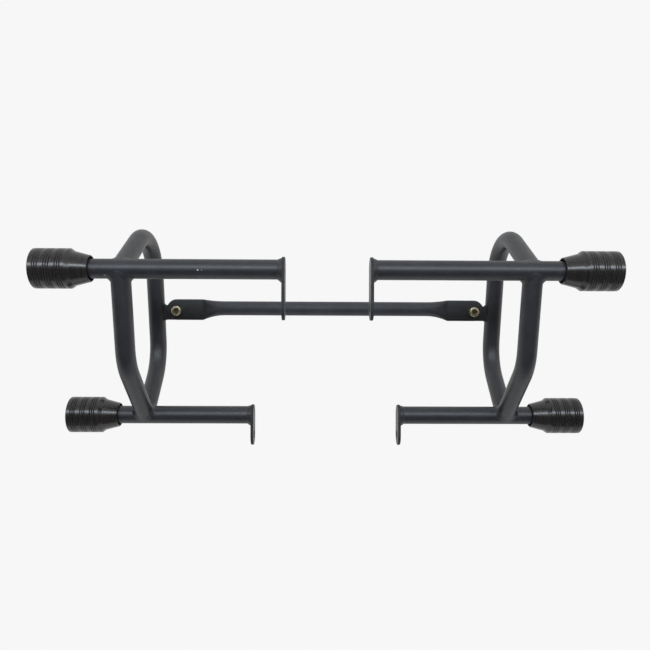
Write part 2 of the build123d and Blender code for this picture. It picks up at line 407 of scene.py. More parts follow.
def cloudy(tree, coordinates, scale, low=0.0, high=1.0):
    """A cloudy value over the model, with clouds at this scale."""
    node = use_group(tree, cloudy_group(), {
        "Vector": coordinates, "Scale": scale, "Low": low, "High": high})
    return node.outputs["Value"]


# Finishes


def new_material(name):
    """A material with its shader and the coordinates of the model."""
    material = bpy.data.materials.new(name)
    material.use_nodes = True
    tree = material.node_tree
    return material, tree, tree.nodes["Principled BSDF"], model_coordinates(tree)


def set_surface(tree, shader, colour, gloss):
    """Feeds a shader's colour and roughness."""
    tree.links.new(colour, shader.inputs["Base Color"])
    tree.links.new(gloss, shader.inputs["Roughness"])


def relief(tree, shader, height, distance, strength):
    """Fine relief in the surface from a height."""
    bump = place(tree, "ShaderNodeBump", {
        "Height": height, "Distance": distance, "Strength": strength})
    tree.links.new(bump.outputs["Normal"], shader.inputs["Normal"])


# Chips in the coat: middle, half lengths along X, Y and Z, and how bare the chip is
COAT_CHIPS = (
    (Vector((-0.1416, -0.0108, 0.0402)), Vector((0.0014, 0.0020, 0.0013)), 1.0),
    (Vector((-0.1374, -0.0108, 0.0402)), Vector((0.0012, 0.0020, 0.0009)), 0.4),
    (Vector((-0.2432, -0.0080, 0.0344)), Vector((0.0013, 0.0016, 0.0012)), 0.35),
)
# Scale of the noise that makes their edges ragged, and the reach at which they start and are full
CHIP_RAGGED_SCALE = 900.0
CHIP_EDGE = (1.15, 1.0)


def chip_mask(tree, coordinates):
    """How bare the coat is where it is chipped, with ragged edges, and none elsewhere."""
    ragged = noise(tree, coordinates, CHIP_RAGGED_SCALE, detail=3.0, roughness=0.6)
    total = 0.0
    for middle, half, bare in COAT_CHIPS:
        offset = vector_maths(tree, "SUBTRACT", coordinates, middle)
        reach = vector_maths(tree, "LENGTH", vector_maths(tree, "DIVIDE", offset, half))
        chip = span(tree, maths(tree, "ADD", reach, ragged), *CHIP_EDGE, 0.0, bare)
        total = maths(tree, "MAXIMUM", total, chip)
    return total


# Scales of the coats' orange peel and of the grain on it, and the depth and strength of both
PEEL_SCALE = 520.0
GRAIN_SCALE = 2600.0
COAT_RELIEF = (0.00006, 0.45)


def powder_coat(name):
    """A black powder coat's material, with its shine and its orange peel."""
    material, tree, shader, coordinates = new_material(name)
    shader.inputs["Specular IOR Level"].default_value = bpy.context.scene.crash_bar_finishes.coat_shine
    powder = use_group(tree, powder_group(), {
        "Vector": coordinates, "Peel": PEEL_SCALE, "Grain": GRAIN_SCALE})
    relief(tree, shader, powder.outputs["Height"], *COAT_RELIEF)
    return material, tree, shader, coordinates


# How a coat varies: the shares of its colour and the changes of its roughness, and the scale of each
COAT_TONES = (0.82, 1.20)
COAT_TONE_SCALE = 45.0
COAT_GLOSS = (-0.04, 0.05)
COAT_GLOSS_SCALE = 260.0


def coat_tone(tree, coordinates, base):
    """A coat's colour, a little uneven."""
    dark, pale = (opaque(base, share) for share in COAT_TONES)
    return blend_colours(tree, cloudy(tree, coordinates, COAT_TONE_SCALE), dark, pale)


def coat_gloss(tree, coordinates, roughness):
    """A coat's roughness, a little uneven."""
    low, high = (roughness + change for change in COAT_GLOSS)
    return cloudy(tree, coordinates, COAT_GLOSS_SCALE, low, high)


def satin_coat():
    """The satin coat of both frames, chipped in places."""
    if "Satin black coat" in bpy.data.materials:
        return bpy.data.materials["Satin black coat"]
    finish = bpy.context.scene.crash_bar_finishes
    material, tree, shader, coordinates = powder_coat("Satin black coat")
    whole = coat_tone(tree, coordinates, finish.coat_colour)
    colour = blend_colours(tree, chip_mask(tree, coordinates), whole, opaque(finish.chip_colour))
    set_surface(tree, shader, colour, coat_gloss(tree, coordinates, finish.coat_roughness))
    return material


def two_coats(name, mask_rule, first, second):
    """A coat that goes over from one colour and roughness to another where its mask is one."""
    material, tree, shader, coordinates = powder_coat(name)
    mask = mask_rule(tree)
    tones = [coat_tone(tree, coordinates, colour) for colour, _ in (first, second)]
    glosses = [coat_gloss(tree, coordinates, roughness) for _, roughness in (first, second)]
    set_surface(tree, shader, blend_colours(tree, mask, *tones), span(tree, mask, 0.0, 1.0, *glosses))
    return material


# The brace's outer end, the length of its flat ends, and the run beside each where the coat goes over to
# its painted shade
BRACE_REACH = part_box("cross_brace")[1].x
FLAT_LENGTH = 0.050
CHANGE_LENGTH = 0.020


def flat_end_shade_mask(tree):
    """Where the brace's painted shade goes: one on its flat ends, none on its round part."""
    flat_start = BRACE_REACH - FLAT_LENGTH
    return span(tree, along_x(tree, model_coordinates(tree)), flat_start - CHANGE_LENGTH, flat_start)


def brace_coat():
    """The duller coat of the brace, lighter with painted light on its round part and darker with painted
    shade on its flat ends, which the press smoothed.
    """
    finish = bpy.context.scene.crash_bar_finishes
    # Painted light on the brace's round part, and painted shade on its flat ends
    return two_coats("Brace coat with painted light and shade", flat_end_shade_mask, (finish.brace_lit_colour, finish.brace_roughness),
                     (finish.pressed_shade_colour, finish.pressed_roughness))


# How squarely a plate's surface faces along X, on its two faces and on its rim
PLATE_FACING = (0.8, 0.4)


def rim_mask(tree):
    """One on the rim of a plate, none on its two faces."""
    surface = place(tree, "ShaderNodeNewGeometry")
    return span(tree, along_x(tree, surface.outputs["Normal"]), *PLATE_FACING)


def plate_coat():
    """The satin coat of the mount plates, darker and dull on their sheared rims."""
    finish = bpy.context.scene.crash_bar_finishes
    return two_coats("Plate coat", rim_mask, (finish.coat_colour, finish.coat_roughness),
                     (finish.rim_colour, finish.rim_roughness))


# The sliders' radius and outer end, and the length that has grooves
SLIDER_R = half_of("right_upper_slider").z
SLIDER_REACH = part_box("right_upper_slider")[1].x
GROOVED_LENGTH = 0.0385
# How deep in a groove its paler colour, which is painted light, starts and is full
GROOVE_DEPTHS = (0.0001, 0.0005)


def groove_mask(tree, coordinates):
    """One in the grooves of the sliders, where their painted light goes: below the turned face, near the
    outer ends.
    """
    across = vector_maths(tree, "MULTIPLY", coordinates, (0, 1, 1))
    radius = maths(tree, "MINIMUM", *(
        vector_maths(tree, "DISTANCE", across, (0, axis.y, axis.z)) for axis in TUBE_AXIS.values()))
    sunk = span(tree, radius, *(SLIDER_R - depth for depth in GROOVE_DEPTHS))
    outer = maths(tree, "GREATER_THAN", along_x(tree, coordinates), SLIDER_REACH - GROOVED_LENGTH)
    return maths(tree, "MULTIPLY", sunk, outer)


# The part of the streaks over which the sliders' tint and gloss change
TINT_STREAKS = (0.35, 0.65)
GLOSS_STREAKS = (0.3, 0.7)
# The changes of the sliders' roughness, and the depth and strength of their tool rings
SLIDER_GLOSS = (-0.03, 0.04)
SLIDER_RELIEF = (0.000002, 0.5)


def anodised_black():
    """Black anodised aluminium, turned, with fine tool rings, and with painted light in its grooves."""
    finish = bpy.context.scene.crash_bar_finishes
    material, tree, shader, coordinates = new_material("Black anodised")
    shader.inputs["Specular IOR Level"].default_value = finish.slider_shine
    rings = use_group(tree, turned_group(), {"Vector": coordinates})
    streak = rings.outputs["Streak"]
    grooved = groove_mask(tree, coordinates)
    turned = blend_colours(tree, span(tree, streak, *TINT_STREAKS), opaque(finish.slider_colour),
                           opaque(finish.slider_tint))
    # Painted light: the grooves take a paler colour
    colour = blend_colours(tree, grooved, turned, opaque(finish.groove_lit_colour))
    low, high = (finish.slider_roughness + change for change in SLIDER_GLOSS)
    gloss = span(tree, streak, *GLOSS_STREAKS, low, high)
    set_surface(tree, shader, colour, span(tree, grooved, 0.0, 1.0, gloss, finish.groove_roughness))
    relief(tree, shader, rings.outputs["Height"], *SLIDER_RELIEF)
    return material


# The zinc's scales of tint, gloss and grain
ZINC_TINT_SCALE = 420.0
ZINC_GLOSS_SCALE = 900.0
ZINC_GRAIN_SCALE = 3200.0
# The changes of its roughness, and the depth and strength of its grain
ZINC_GLOSS = (-0.07, 0.09)
ZINC_RELIEF = (0.00001, 0.4)


def yellow_zinc():
    """Yellow zinc plate, with the uneven tint of its passivation."""
    if "Yellow zinc" in bpy.data.materials:
        return bpy.data.materials["Yellow zinc"]
    finish = bpy.context.scene.crash_bar_finishes
    material, tree, shader, coordinates = new_material("Yellow zinc")
    shader.inputs["Metallic"].default_value = 1.0
    colour = blend_colours(tree, cloudy(tree, coordinates, ZINC_TINT_SCALE), opaque(finish.zinc_colour),
                           opaque(finish.zinc_tint))
    low, high = (finish.zinc_roughness + change for change in ZINC_GLOSS)
    set_surface(tree, shader, colour, cloudy(tree, coordinates, ZINC_GLOSS_SCALE, low, high))
    relief(tree, shader, noise(tree, coordinates, ZINC_GRAIN_SCALE, detail=2.0), *ZINC_RELIEF)
    return material


# The scales of tone and gloss in a screw's socket, whose dark colour is painted shade
SOCKET_TONE_SCALE = 700.0
SOCKET_GLOSS_SCALE = 500.0
# How much paler the socket's painted shade is in patches, its roughness, and how metallic it looks
SOCKET_PALE_SHARE = 1.7
SOCKET_ROUGHNESS = (0.45, 0.65)
SOCKET_METAL = 0.6


def shaded_socket():
    """The dull plating in a screw's socket, darkened with painted shade for its recess."""
    if "Socket with painted shade" in bpy.data.materials:
        return bpy.data.materials["Socket with painted shade"]
    finish = bpy.context.scene.crash_bar_finishes
    material, tree, shader, coordinates = new_material("Socket with painted shade")
    shader.inputs["Metallic"].default_value = SOCKET_METAL
    # Painted shade: the socket's dark colour stands in for the shade in its recess
    colour = blend_colours(tree, cloudy(tree, coordinates, SOCKET_TONE_SCALE), opaque(finish.socket_shade_colour),
                           opaque(finish.socket_shade_colour, SOCKET_PALE_SHARE))
    set_surface(tree, shader, colour, cloudy(tree, coordinates, SOCKET_GLOSS_SCALE, *SOCKET_ROUGHNESS))
    return material


# The steel's tool rings, with their depth and strength, and how dark it is where it is worn
STEEL_RINGS = 3500.0
STEEL_RELIEF = (0.00002, 0.5)
WORN_STEEL = 0.75
# Its roughness, and the scale on which that changes
STEEL_GLOSS = (0.30, 0.45)
STEEL_GLOSS_SCALE = 300.0


def turned_steel():
    """Bare steel with the rings of the lathe."""
    finish = bpy.context.scene.crash_bar_finishes
    material, tree, shader, coordinates = new_material("Turned steel")
    shader.inputs["Metallic"].default_value = 1.0
    rings = use_group(tree, turned_group(), {"Vector": coordinates, "Rings": STEEL_RINGS})
    colour = blend_colours(tree, rings.outputs["Streak"], opaque(finish.steel_colour, WORN_STEEL),
                           opaque(finish.steel_colour))
    set_surface(tree, shader, colour, cloudy(tree, coordinates, STEEL_GLOSS_SCALE, *STEEL_GLOSS))
    relief(tree, shader, rings.outputs["Height"], *STEEL_RELIEF)
    return material


def dress(material, endings):
    """Gives a finish to every CAD node whose name ends with one of these words."""
    dressed = [o for name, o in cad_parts.items() if name.endswith(endings)]
    if not dressed:
        raise RuntimeError(f"no node's name ends with {endings}")
    for node in dressed:
        node.data.materials.clear()
        node.data.materials.append(material)


# Pieces


def new_object(name, bm, *materials):
    """A mesh in the model's frame becomes an object of the scene."""
    mesh = bpy.data.meshes.new(name)
    bm.to_mesh(mesh)
    bm.free()
    for material in materials:
        mesh.materials.append(material)
    thing = bpy.data.objects.new(name, mesh)
    bpy.context.scene.collection.objects.link(thing)
    return thing


def add_piece(name, bm, slot, *materials):
    """A smooth piece that goes with the frame."""
    piece = new_object(name, bm, *materials)
    for face in piece.data.polygons:
        face.use_smooth = True
    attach(piece, "root")
    return piece


def join_rings(bm, rings, closed):
    """The four-sided faces that skin rings of vertices, round to the first ring if closed."""
    pairs = list(zip(rings, rings[1:]))
    if closed:
        pairs.append((rings[-1], rings[0]))
    faces = []
    for ring, after in pairs:
        count = len(ring)
        for i in range(count):
            j = (i + 1) % count
            faces.append(bm.faces.new((ring[i], ring[j], after[j], after[i])))
    return faces


# Welds


class RoundFace:
    """The outside of a straight tube."""

    def __init__(self, point, direction, radius):
        self.point, self.direction, self.radius = point, direction.normalized(), radius

    def settle(self, spot):
        """The nearest place on the tube, and the way out of the metal there."""
        offset = spot - self.point
        along = self.direction * offset.dot(self.direction)
        normal = (offset - along).normalized()
        return self.point + along + normal * self.radius, normal


class FlatFace:
    """A flat face of a plate or a lug."""

    def __init__(self, point, normal):
        self.point, self.normal = point, normal.normalized()

    def settle(self, spot):
        """The nearest place on the face, and the way out of the metal there."""
        return spot - self.normal * (spot - self.point).dot(self.normal), self.normal


class WeldStop:
    """A place on a weld's root: the two faces that meet there, and the ways and lengths of its legs."""

    def __init__(self, root, faces, ways, legs):
        self.root, self.faces, self.ways, self.legs = root, faces, ways, legs


# Steps from toe to toe, how far a bead's toes and root sink into the metal, and how its ripples lean
BEAD_STEPS = 8
TOE_SINK = 0.00025
ROOT_DEPTH = 0.0012
RIPPLE_LEAN = 1.6


def bead_ring(stop, along, fullness, phase):
    """The points of a bead's section: a rippled face from toe to toe, and its root in the metal."""
    sizes = bpy.context.scene.crash_bar_sizes
    toes, normals = [], []
    for face, way, leg in zip(stop.faces, stop.ways, stop.legs):
        normal = face.settle(stop.root)[1]
        step = way - normal * way.dot(normal) - along * way.dot(along)
        toe, out = face.settle(stop.root + step.normalized() * leg)
        toes.append(toe - out * TOE_SINK)
        normals.append(normal)
    outward = (normals[0] + normals[1]).normalized()
    level = max(0.0, normals[0].dot(normals[1]))
    hollow = stop.root + outward * sizes.bead_crown * level
    crest = hollow.lerp((toes[0] + toes[1]) / 2 + outward * sizes.bead_crown, fullness)
    ring = []
    for step in range(BEAD_STEPS + 1):
        u = step / BEAD_STEPS
        arch = sin(pi * u)
        wave = 0.5 + 0.5 * cos(phase + RIPPLE_LEAN * arch)
        point = toes[0] * (1 - u) ** 2 + crest * 2 * u * (1 - u) + toes[1] * u * u
        ring.append(point + outward * sizes.ripple_height * arch * wave)
    ring.append(stop.root - outward * ROOT_DEPTH)
    return ring


def lay_bead(stops, fullness, side):
    """A closed weld bead through its stops, mirrored for the left side."""
    sizes = bpy.context.scene.crash_bar_sizes
    count = len(stops)
    runs = [(stops[(i + 1) % count].root - stops[i].root).length for i in range(count)]
    ripples = max(1, round(sum(runs) / sizes.ripple_pitch))
    bm = bmesh.new()
    rings, travelled = [], 0.0
    for i, stop in enumerate(stops):
        along = (stops[(i + 1) % count].root - stops[i - 1].root).normalized()
        phase = 2 * pi * ripples * travelled / sum(runs)
        ring = bead_ring(stop, along, fullness, phase)
        rings.append([bm.verts.new((side * p.x, p.y, p.z)) for p in ring])
        travelled += runs[i]
    join_rings(bm, rings, closed=True)
    bmesh.ops.recalc_face_normals(bm, faces=bm.faces)
    return bm


# Stops round a joint's weld, and how gently its root turns at the sides of the tubes
JOINT_STOPS = 200
SIDE_ROUNDING = 0.28


def joint_stops(level, corner):
    """The saddle where a tube that comes from a bend's corner meets a cross tube of its own size."""
    joint = JOINT[level]
    branch = Vector((0, corner[0] - joint.y, corner[1] - joint.z)).normalized()
    across = branch.cross(X_AXIS)
    faces = (RoundFace(joint, X_AXIS, TUBE_R), RoundFace(joint, branch, TUBE_R))
    legs = (bpy.context.scene.crash_bar_sizes.joint_leg,) * 2
    stops = []
    for i in range(JOINT_STOPS):
        turn = 2 * pi * i / JOINT_STOPS
        rise = TUBE_R * sqrt(cos(turn) ** 2 + SIDE_ROUNDING ** 2)
        root = joint + X_AXIS * TUBE_R * cos(turn) + across * TUBE_R * sin(turn) + branch * rise
        tube_way = X_AXIS * cos(turn) - branch * (1 - abs(cos(turn)))
        stops.append(WeldStop(root, faces, (tube_way, branch), legs))
    return stops


# Stops round a plate's weld
PLATE_STOPS = 160


def plate_stops(level):
    """The ring where a cross tube stands on its plate; the weld is fullest below the tube."""
    swell = bpy.context.scene.crash_bar_sizes.plate_swell
    ring = half_of(f"right_{level}_plate_weld")
    axis = TUBE_AXIS[level]
    outer_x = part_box(f"right_{level}_mount_plate")[1].x
    centre = Vector((outer_x, axis.y, axis.z))
    faces = (FlatFace(centre, X_AXIS), RoundFace(centre, X_AXIS, TUBE_R))
    stops = []
    for i in range(PLATE_STOPS):
        turn = 2 * pi * i / PLATE_STOPS
        way = Vector((0, cos(turn), sin(turn)))
        plate_leg = ring.z - TUBE_R + swell * max(0.0, -way.z) ** 2
        stops.append(WeldStop(centre + way * TUBE_R, faces, (way, X_AXIS), (plate_leg, 2 * ring.x)))
    return stops


# Stops along the long and the short sides of a lug
LUG_RUN_STOPS = {"long": 44, "short": 12}


def lug_stops():
    """The outline of a brace lug where it stands on the hoop's rear leg."""
    sizes = bpy.context.scene.crash_bar_sizes
    middle, half = middle_of("right_brace_lug"), half_of("right_brace_lug")
    crown = Vector((LOOP_X, *sizes.hoop_crown))
    heel = Vector((LOOP_X, *sizes.hoop_heel))
    leg = RoundFace(crown, heel - crown, TUBE_R)
    legs = (sizes.lug_leg,) * 2
    back, up = Vector((0, 1, 0)), Vector((0, 0, 1))
    runs = ((-back, up, half.y, half.z, "long"), (up, back, half.z, half.y, "short"),
            (back, -up, half.y, half.z, "long"), (-up, -back, half.z, half.y, "short"))
    stops = []
    for normal, along, reach, reach_along, kind in runs:
        count = LUG_RUN_STOPS[kind]
        face_point = Vector((0, middle.y, middle.z)) + normal * reach
        for i in range(count):
            spot = face_point + along * reach_along * (2 * i / count - 1)
            offset = spot - Vector((0, crown.y, crown.z))
            off_axis = (offset - leg.direction * offset.dot(leg.direction)).length
            root = Vector((LOOP_X - sqrt(TUBE_R ** 2 - off_axis ** 2), spot.y, spot.z))
            faces = (leg, FlatFace(root, normal))
            stops.append(WeldStop(root, faces, (normal, -X_AXIS), legs))
    return stops


# Screws


# The cap screws of the brace, M8, and of the sliders, M10
BRACE_SCREW = {"shank_r": 0.004, "height": 0.008, "pitch": 0.00125}
SLIDER_SCREW = {"shank_r": 0.005, "height": 0.010, "pitch": 0.0015}
# How much narrower a screw's key is than its thread
KEY_STEP = 0.002
# Shares of a head's height: its rounded edge, the lead into its socket, and the socket's depth
HEAD_EDGE_SHARE = 0.12
SOCKET_LEAD_SHARE = 0.05
SOCKET_DEPTH_SHARE = 0.5
# The socket's drilled floor: its flat as a share of the key, and its depth as a share of the socket's
DRILL_FLAT_SHARE = 0.3
DRILL_DEPTH_SHARE = 1.12
SOCKET_SIDES = 6
# Number of the socket's material, with its painted shade, on the screw
SOCKET_MATERIAL = 1
# How finely the screws are drawn, and the angle above which an edge stays sharp
HEAD_POINTS_PER_RIDGE = 4
SHANK_POINTS = 48
THREAD_RINGS_PER_TURN = 10
EDGE_STEPS = 4
SHARP_ANGLE = radians(40)


def round_ring(bm, radius, z, count):
    """A ring of vertices round the Z axis; radius is a number or a rule by angle."""
    ring = []
    for i in range(count):
        turn = 2 * pi * i / count
        r = radius(turn) if callable(radius) else radius
        ring.append(bm.verts.new((r * cos(turn), r * sin(turn), z)))
    return ring


def hexagon_rule(half_flats):
    """The rule for a hexagon's radius by angle."""
    corner = 2 * pi / SOCKET_SIDES

    def radius(turn):
        return half_flats / cos((turn % corner) - corner / 2)

    return radius


def knurl_rule(head_r, ridges, depth):
    """The rule for a knurled head's radius by angle."""

    def radius(turn):
        return head_r - depth * (0.5 - 0.5 * cos(ridges * turn))

    return radius


def thread_rule(shank_r, depth, pitch, z, crest):
    """The rule for a thread's radius by angle at one height, no more than its crest there."""

    def radius(turn):
        share = (z / pitch + turn / (2 * pi)) % 1.0
        return min(crest, shank_r - depth * (1 - abs(2 * share - 1)))

    return radius


def screw_head(bm, head_r, height, key_half, ridges, knurl):
    """A knurled cap head standing on the origin, with a rounded top edge and a hexagon socket."""
    count = ridges * HEAD_POINTS_PER_RIDGE
    edge = HEAD_EDGE_SHARE * height
    plain_r = head_r - knurl
    ridged = knurl_rule(head_r, ridges, knurl)
    rings = [round_ring(bm, plain_r - edge / 2, 0, count), round_ring(bm, plain_r, edge / 2, count)]
    rings += [round_ring(bm, ridged, z, count) for z in (edge, height - 2 * edge)]
    for step in range(EDGE_STEPS + 1):
        turn = pi / 2 * step / EDGE_STEPS
        r = plain_r - edge * (1 - cos(turn))
        rings.append(round_ring(bm, r, height - edge * (1 - sin(turn)), count))
    lead = SOCKET_LEAD_SHARE * height
    depth = SOCKET_DEPTH_SHARE * height
    mouth = round_ring(bm, hexagon_rule(key_half + lead), height, count)
    join_rings(bm, [*rings, mouth], closed=False)
    bm.faces.new(rings[0])
    socket = [mouth, round_ring(bm, hexagon_rule(key_half), height - lead, count)]
    socket.append(round_ring(bm, hexagon_rule(key_half), height - depth, count))
    socket.append(round_ring(bm, DRILL_FLAT_SHARE * key_half, height - DRILL_DEPTH_SHARE * depth, count))
    for face in [*join_rings(bm, socket, closed=False), bm.faces.new(socket[-1])]:
        face.material_index = SOCKET_MATERIAL


def screw_shank(bm, shank_r, length, pitch, depth):
    """A threaded shank below the origin, with a chamfered end."""
    ring_count = int(length / pitch * THREAD_RINGS_PER_TURN)
    rings = []
    for i in range(ring_count + 1):
        z = -length * i / ring_count
        to_end = length + z
        crest = min(shank_r, shank_r - depth + to_end)
        rings.append(round_ring(bm, thread_rule(shank_r, depth, pitch, z, crest), z, SHANK_POINTS))
    join_rings(bm, rings, closed=False)
    bm.faces.new(rings[0])
    bm.faces.new(rings[-1])


def socket_screw(seat, facing, head_r, length, screw):
    """A whole cap screw with its seat and the way that its head faces."""
    sizes = bpy.context.scene.crash_bar_sizes
    shank_r, pitch = screw["shank_r"], screw["pitch"]
    key_half = shank_r - KEY_STEP / 2
    bm = bmesh.new()
    screw_head(bm, head_r, screw["height"], key_half, sizes.knurl_ridges, sizes.knurl_depth)
    screw_shank(bm, shank_r, length, pitch, sizes.thread_share * pitch)
    bmesh.ops.recalc_face_normals(bm, faces=bm.faces)
    turn = facing.to_track_quat("Z", "Y").to_matrix().to_4x4()
    bmesh.ops.transform(bm, matrix=Matrix.Translation(seat) @ turn, verts=bm.verts)
    return bm


def fit_screw(node, facing, screw):
    """One screw in the place of its CAD node."""
    middle, half = middle_of(node), half_of(node)
    reach = abs(half.dot(facing))
    seat = middle + facing * (reach - screw["height"])
    bm = socket_screw(seat, facing, half.z, 2 * reach - screw["height"], screw)
    piece = add_piece(f"{node}_detailed", bm, "plated_steel", yellow_zinc(), shaded_socket())
    piece.data.set_sharp_from_angle(angle=SHARP_ANGLE)
    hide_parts(node)


# Studio


def seen_rays(tree):
    """One for rays from the camera, off gloss or through glass."""
    path = tree.nodes.new("ShaderNodeLightPath")
    seen = maths(tree, "MAXIMUM", path.outputs["Is Camera Ray"], path.outputs["Is Glossy Ray"])
    return maths(tree, "MAXIMUM", seen, path.outputs["Is Transmission Ray"])


def add_stage_mesh(name, bm, material):
    """A mesh that belongs to the studio."""
    thing = new_object(name, bm, material)
    return thing


FLOOR_RADIUS = 7.0
FLOOR_SPOKES = 64
# Shares of the floor's white, and the scale on which they change
FLOOR_TONES = (0.97, 1.0)
FLOOR_TONE_SCALE = 3.0
# Where the model's shadow starts to fade and is gone, and how much of it shows under the model
SHADOW_REACH = (0.30, 0.75)
SHADOW_SHARE = 0.5


def floor_material(studio):
    """A pale floor that reads as the white backdrop and keeps the shadow under the model."""
    material, tree, shader, coordinates = new_material("Pale floor")
    tree.nodes.remove(shader)
    tone = cloudy(tree, coordinates, FLOOR_TONE_SCALE, *FLOOR_TONES)
    white = (studio.floor_white,) * 3
    matt = place(tree, "ShaderNodeBsdfDiffuse", {
        "Color": blend_colours(tree, tone, opaque(white, 0.0), opaque(white))})
    glow = place(tree, "ShaderNodeEmission", {"Color": opaque((studio.backdrop_white,) * 3)})
    reach = vector_maths(tree, "LENGTH", coordinates)
    share = span(tree, reach, *SHADOW_REACH, 1 - SHADOW_SHARE, 1.0)
    mix = place(tree, "ShaderNodeMixShader", {
        0: maths(tree, "MULTIPLY", seen_rays(tree), share),
        1: matt.outputs["BSDF"], 2: glow.outputs["Emission"]})
    tree.links.new(mix.outputs["Shader"], tree.nodes["Material Output"].inputs["Surface"])
    return material


def add_floor(studio):
    """A wide round floor below the model."""
    bm = bmesh.new()
    bmesh.ops.create_circle(bm, cap_ends=True, segments=FLOOR_SPOKES, radius=FLOOR_RADIUS)
    floor = add_stage_mesh("studio_floor", bm, floor_material(studio))
    floor.location.z = CAD_LOW.z - studio.floor_drop
    return floor


# The cloths' colours, the scale and paleness of their folds, their roughness and their width
CURTAIN_COLOUR = (0.09, 0.09, 0.093)
CANOPY_COLOUR = (0.93, 0.93, 0.94)
FOLD_SCALE = 2.0
FOLD_SHARE = 1.1
CLOTH_ROUGHNESS = 0.9
CLOTH_HALF_WIDTH = 2.6
# The curtain's height above the floor, its ends along Y, its top, and the place of its wings along X
CLOTH_LIFT = 0.005
CURTAIN_REACH = (-2.0, -0.15)
CURTAIN_TOP = 0.22
WING_SIDE = 1.3
# The canopy's line seen from the side, as Y and Z
CANOPY_LINE = ((-2.0, 0.95), (-1.6, 1.45), (-0.35, 1.60))


def cloth_material(name, colour):
    """Matt cloth with soft folds of tone."""
    material, tree, shader, coordinates = new_material(name)
    folds = cloudy(tree, coordinates, FOLD_SCALE)
    tone = blend_colours(tree, folds, opaque(colour), opaque(colour, FOLD_SHARE))
    tree.links.new(tone, shader.inputs["Base Color"])
    shader.inputs["Roughness"].default_value = CLOTH_ROUGHNESS
    return material


def add_cloth(name, rows, colour):
    """A cloth on the camera's side, which only the gloss of the model shows."""
    bm = bmesh.new()
    rows = [[bm.verts.new(corner) for corner in row] for row in rows]
    for row, after in zip(rows, rows[1:]):
        bm.faces.new((row[0], row[1], after[1], after[0]))
    cloth = add_stage_mesh(name, bm, cloth_material(name.replace("_", " "), colour))
    cloth.visible_camera = False
    cloth.visible_diffuse = False
    cloth.visible_shadow = False


def hang_cloths(floor_z):
    """The curtain in front of the model, the canopy over the camera, and the curtain's two wings."""
    low = floor_z + CLOTH_LIFT
    far, near = CURTAIN_REACH
    curtain_line = ((near, low), (far, low), (far, CURTAIN_TOP))
    ends = (-CLOTH_HALF_WIDTH, CLOTH_HALF_WIDTH)
    for name, line, colour in (("studio_curtain", curtain_line, CURTAIN_COLOUR),
                               ("studio_canopy", CANOPY_LINE, CANOPY_COLOUR)):
        add_cloth(name, [[(x, y, z) for x in ends] for y, z in line], colour)
    for side, sign in SIDES.items():
        rows = [[(sign * WING_SIDE, y, z) for y in CURTAIN_REACH] for z in (low, CURTAIN_TOP)]
        add_cloth(f"studio_{side}_wing", rows, CURTAIN_COLOUR)


# The strip light's length and width, its place, and the place that it points at
STRIP_SIZE = (2.0, 0.14)
STRIP_PLACE = Vector((0.0, -0.87, 0.34))
STRIP_AIM = Vector((0.0, 0.05, 0.0))


def add_strip_light(studio):
    """A long strip light above and in front of the model."""
    light = bpy.data.lights.new("strip_light", "AREA")
    light.shape = "RECTANGLE"
    light.size, light.size_y = STRIP_SIZE
    light.energy = studio.strip_power
    light.color = studio.strip_colour
    lamp = bpy.data.objects.new("strip_light", light)
    lamp.location = STRIP_PLACE
    lamp.rotation_euler = (STRIP_AIM - STRIP_PLACE).to_track_quat("-Z", "Y").to_euler()
    lamp.visible_camera = False
    bpy.context.scene.collection.objects.link(lamp)


def light_room(studio):
    """An even white room, as bright to the camera and in gloss as the backdrop."""
    world = bpy.data.worlds.new("White room")
    world.use_nodes = True
    bpy.context.scene.world = world
    tree = world.node_tree
    tree.nodes.clear()
    lighting = place(tree, "ShaderNodeBackground", {"Color": opaque((studio.ambient,) * 3)})
    backdrop = place(tree, "ShaderNodeBackground", {"Color": opaque((studio.backdrop_white,) * 3)})
    mix = place(tree, "ShaderNodeMixShader", {
        0: seen_rays(tree), 1: lighting.outputs["Background"], 2: backdrop.outputs["Background"]})
    place(tree, "ShaderNodeOutputWorld", {"Surface": mix.outputs["Shader"]})


# Width of the camera's sensor, in millimetres
SENSOR_WIDTH = 36.0


def add_camera(studio):
    """The camera at the photograph's place, looking along +Y."""
    data = bpy.data.cameras.new("camera")
    data.sensor_width = SENSOR_WIDTH
    data.lens = SENSOR_WIDTH * studio.focal_share
    camera = bpy.data.objects.new("camera", data)
    turn = Matrix.Rotation(studio.camera_turn, 4, "Z")
    tilt = Matrix.Rotation(pi / 2 + studio.camera_tilt, 4, "X")
    roll = Matrix.Rotation(studio.camera_roll, 4, "Z")
    front = TUBE_AXIS["upper"].y - studio.camera_distance
    spot = Matrix.Translation((studio.camera_side, front, studio.camera_height))
    camera.matrix_world = spot @ turn @ tilt @ roll
    bpy.context.scene.collection.objects.link(camera)
    bpy.context.scene.camera = camera


# Steps


class CRASHBARS_OT_coat_tubes(bpy.types.Operator):
    """Give the tubes, plates, lugs and brace their black coats"""

    bl_idname = "crash_bars.coat_tubes"
    bl_label = "Coat the tubes"

    def execute(self, context):
        dress(satin_coat(), ("_tube", "_upright", "_hoop", "_weld", "_lug"))
        dress(plate_coat(), ("_plate",))
        dress(brace_coat(), ("cross_brace",))
        return {"FINISHED"}


class CRASHBARS_OT_anodise_sliders(bpy.types.Operator):
    """Give the sliders their turned, anodised finish"""

    bl_idname = "crash_bars.anodise_sliders"
    bl_label = "Anodise the sliders"

    def execute(self, context):
        dress(anodised_black(), ("_slider",))
        return {"FINISHED"}


